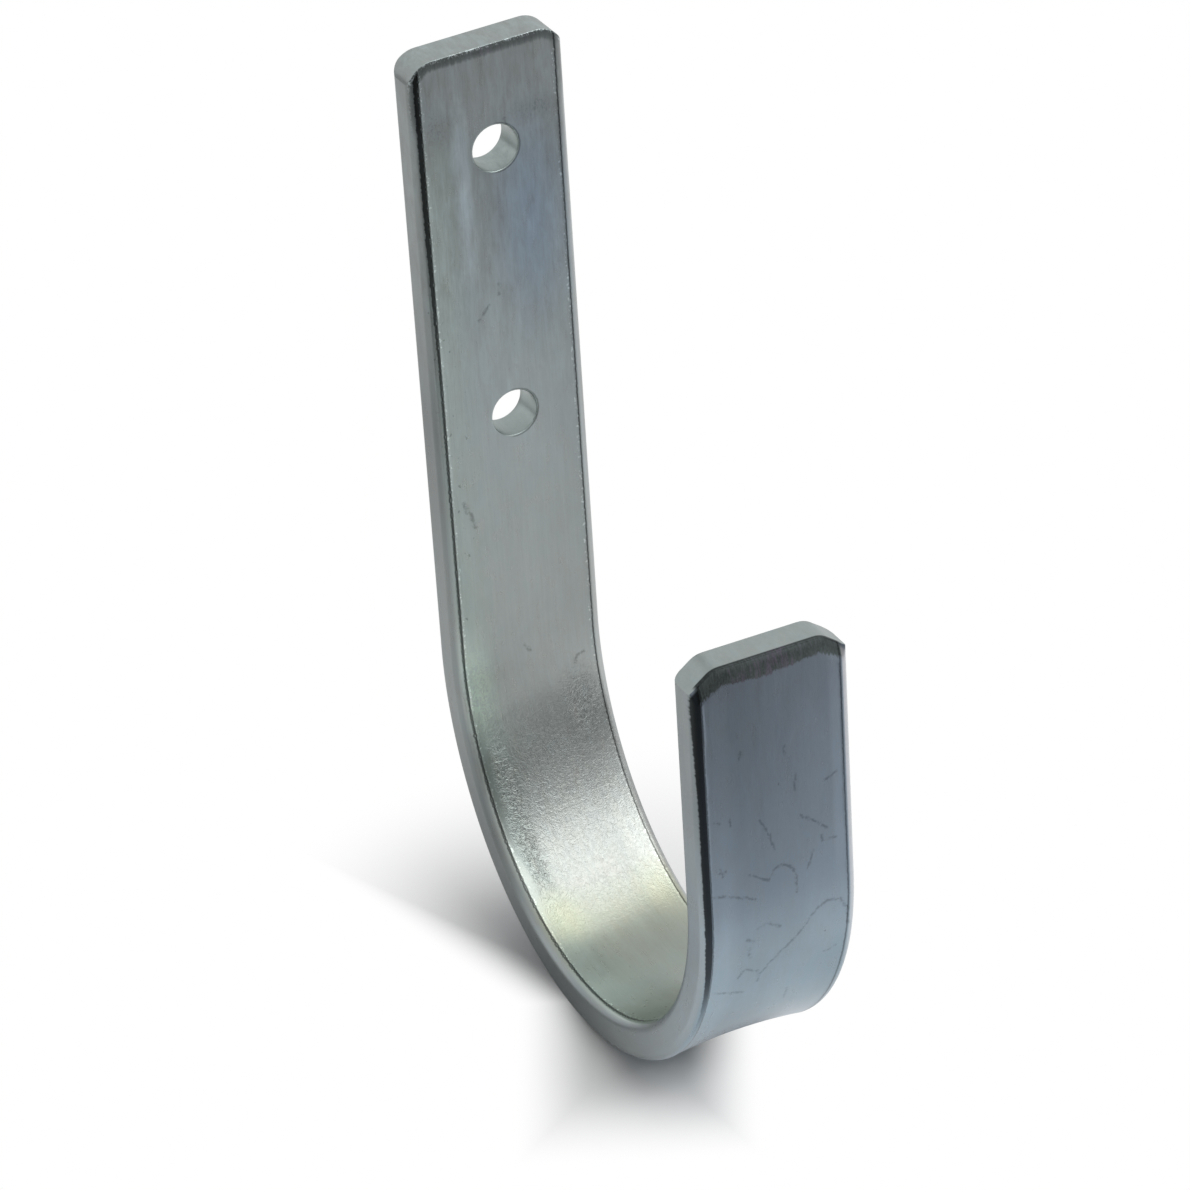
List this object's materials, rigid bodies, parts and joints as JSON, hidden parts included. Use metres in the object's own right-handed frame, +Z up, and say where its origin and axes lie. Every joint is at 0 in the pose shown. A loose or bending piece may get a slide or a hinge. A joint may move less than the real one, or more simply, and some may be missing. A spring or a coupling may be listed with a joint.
{
  "type": "garage utility hook",
  "caption": "Flat steel bar bent into a J, with rolled edges, cropped ends and screw holes through its straight back plate, for hanging tools and ladders on a wall.",
  "frame": {"origin": "midway between the two screw holes, on the flat wall face", "axes": "+Z up along the straight back plate, -Y out of the wall towards the hook's mouth, +X across the bar to the right as seen from the room"},
  "size_m": [0.025, 0.086, 0.1453],
  "materials": {
    "zinc_plated_steel": "bright zinc plate with a clear blue-green passivate over rolled flat bar, faint rolling streaks along the bar and hairline scratches"
  },
  "bodies": {
    "root": {"hook": "zinc_plated_steel"}
  },
  "joints": []
}
